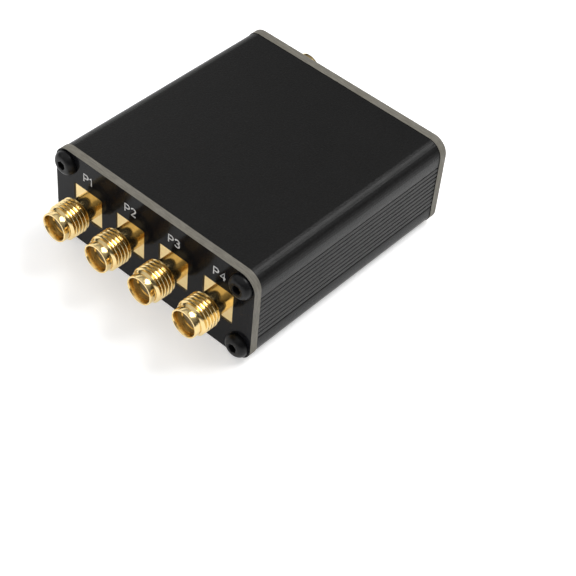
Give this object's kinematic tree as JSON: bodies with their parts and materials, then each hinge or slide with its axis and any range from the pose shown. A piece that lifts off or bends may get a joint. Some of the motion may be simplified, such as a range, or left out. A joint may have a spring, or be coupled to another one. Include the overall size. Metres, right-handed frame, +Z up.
{
  "type": "vector network analyzer",
  "caption": "Pocket vector network analyzer: black anodised sleeve, glossy black end panels, a row of gold SMA ports in front and one behind, micro-USB inlet.",
  "frame": {"origin": "on the floor, under the middle of the case", "axes": "+X from port 1 to port 4, +Y from the front panel to the rear panel, +Z up"},
  "size_m": [0.0452, 0.0636, 0.0188],
  "materials": {
    "anodised_aluminium": "bead-blasted black anodised, satin",
    "black_solder_mask": "glossy black solder mask over glass-fibre board",
    "black_oxide_steel": "black oxide, smooth",
    "gold_plating": "polished gold plate",
    "ptfe": "satin",
    "circuit_board": "green solder mask",
    "tin_plate": "bright tin",
    "chip_epoxy": "matte moulded epoxy",
    "ferrite": "matte ferrite",
    "black_plastic": "matte",
    "led_lens": "clear with a green tint"
  },
  "bodies": {
    "instrument": {"case_sleeve": "anodised_aluminium", "front_panel": "black_solder_mask", "rear_panel": "black_solder_mask", "front_screw_1": "black_oxide_steel", "rear_screw_1": "black_oxide_steel", "front_screw_2": "black_oxide_steel", "rear_screw_2": "black_oxide_steel", "front_screw_3": "black_oxide_steel", "rear_screw_3": "black_oxide_steel", "front_screw_4": "black_oxide_steel", "rear_screw_4": "black_oxide_steel", "main_board": "circuit_board", "port_1_body": "gold_plating", "port_1_insulator": "ptfe", "port_1_contact": "gold_plating", "port_2_body": "gold_plating", "port_2_insulator": "ptfe", "port_2_contact": "gold_plating", "port_3_body": "gold_plating", "port_3_insulator": "ptfe", "port_3_contact": "gold_plating", "port_4_body": "gold_plating", "port_4_insulator": "ptfe", "port_4_contact": "gold_plating", "rear_port_body": "gold_plating", "rear_port_insulator": "ptfe", "rear_port_contact": "gold_plating", "shield_can_1": "tin_plate", "receiver_1": "chip_epoxy", "shield_can_2": "tin_plate", "receiver_2": "chip_epoxy", "shield_can_3": "tin_plate", "receiver_3": "chip_epoxy", "shield_can_4": "tin_plate", "receiver_4": "chip_epoxy", "source_synthesizer": "chip_epoxy", "lo_synthesizer": "chip_epoxy", "port_switch": "chip_epoxy", "data_converter": "chip_epoxy", "processor": "chip_epoxy", "flash_memory": "chip_epoxy", "voltage_regulator": "chip_epoxy", "reference_oscillator": "tin_plate", "crystal": "tin_plate", "power_inductor": "ferrite", "usb_shell": "tin_plate", "usb_tongue": "black_plastic", "status_led": "led_lens", "boot_switch_body": "black_plastic"},
    "boot_button": {"boot_plunger": "black_plastic"}
  },
  "joints": [
    {"name": "boot_press", "type": "slide", "parent": "instrument", "child": "boot_button", "axis": [0, -1, 0], "range_m": [0, 0.00025], "stiffness_N_per_m": 4000}
  ]
}
